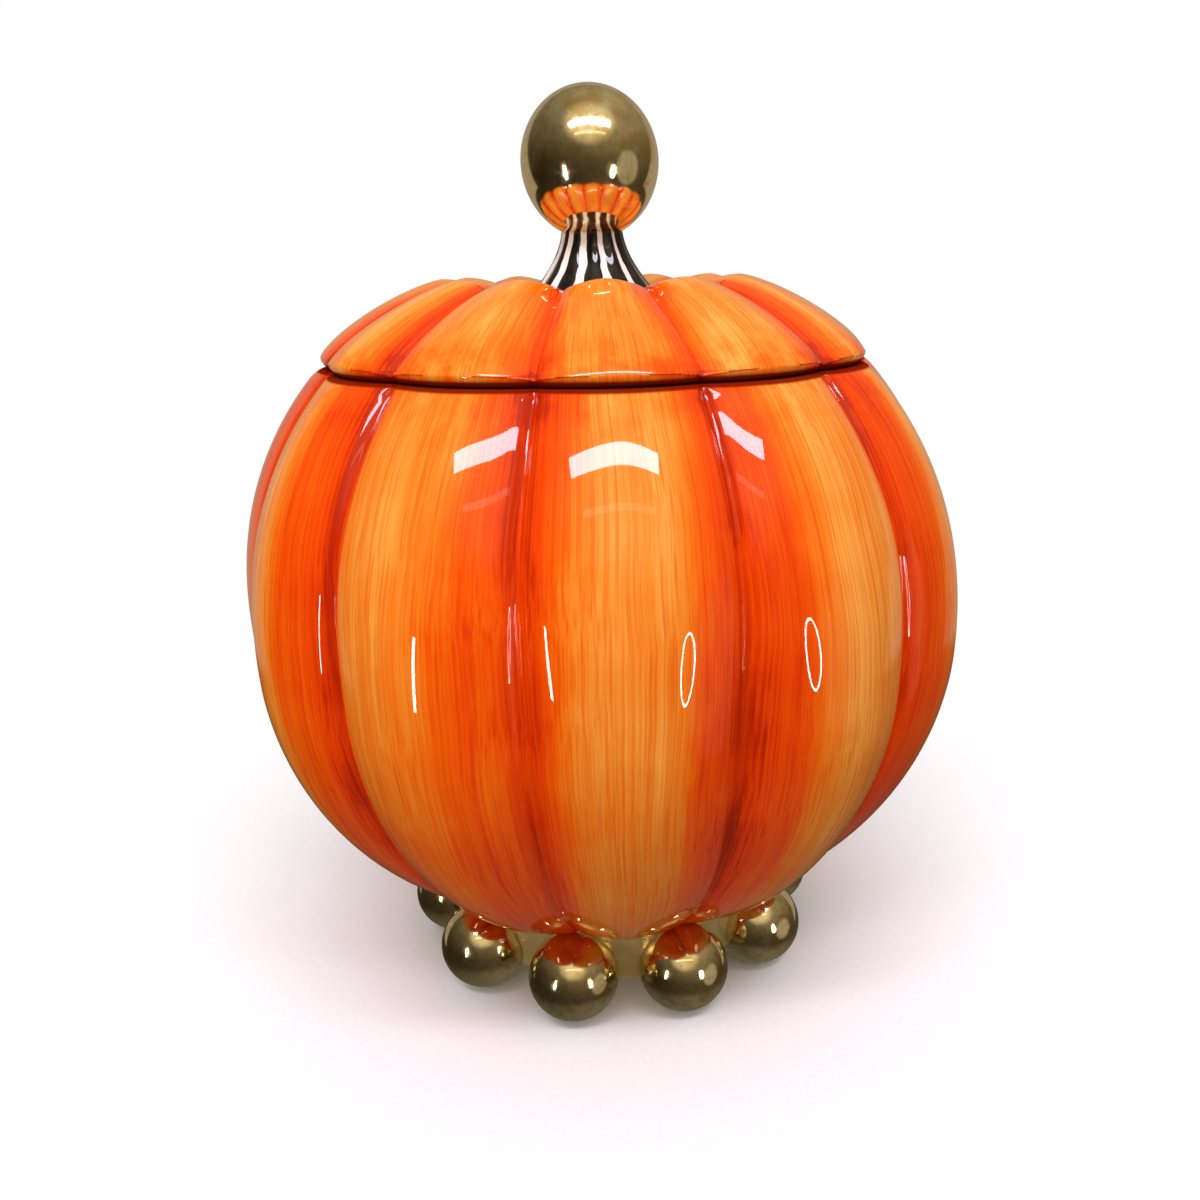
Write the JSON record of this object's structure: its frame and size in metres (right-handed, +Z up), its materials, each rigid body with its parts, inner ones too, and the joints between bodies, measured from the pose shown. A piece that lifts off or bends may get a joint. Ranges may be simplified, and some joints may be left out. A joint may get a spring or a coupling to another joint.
{
  "type": "lidded pumpkin jar",
  "caption": "Glazed ceramic jar shaped as a lobed pumpkin on gold ball feet, with a lift-off lobed lid, striped stem and gold ball finial.",
  "frame": {"origin": "centre of the surface that the jar stands on, on the jar's axis", "axes": "+Z up along the jar's axis and the way the lid lifts; the crest of one lobe faces -Y"},
  "size_m": [0.212, 0.212, 0.2533],
  "materials": {
    "orange_glaze": "hand-brushed orange underglaze with a high-gloss clear glaze",
    "gold_lustre": "mirror gold lustre fired over glaze",
    "striped_glaze": "glossy black and white painted stripes"
  },
  "bodies": {
    "jar": {"bowl": "orange_glaze", "foot_ring": "gold_lustre", "foot_ball_1": "gold_lustre", "foot_ball_2": "gold_lustre", "foot_ball_3": "gold_lustre", "foot_ball_4": "gold_lustre", "foot_ball_5": "gold_lustre", "foot_ball_6": "gold_lustre", "foot_ball_7": "gold_lustre", "foot_ball_8": "gold_lustre", "foot_ball_9": "gold_lustre", "foot_ball_10": "gold_lustre"},
    "lid": {"lid": "orange_glaze", "stem": "striped_glaze", "finial_ball": "gold_lustre"}
  },
  "joints": [
    {"name": "lid_lift", "type": "slide", "parent": "jar", "child": "lid", "axis": [0, 0, 1], "range_m": [0, 0.08]}
  ]
}
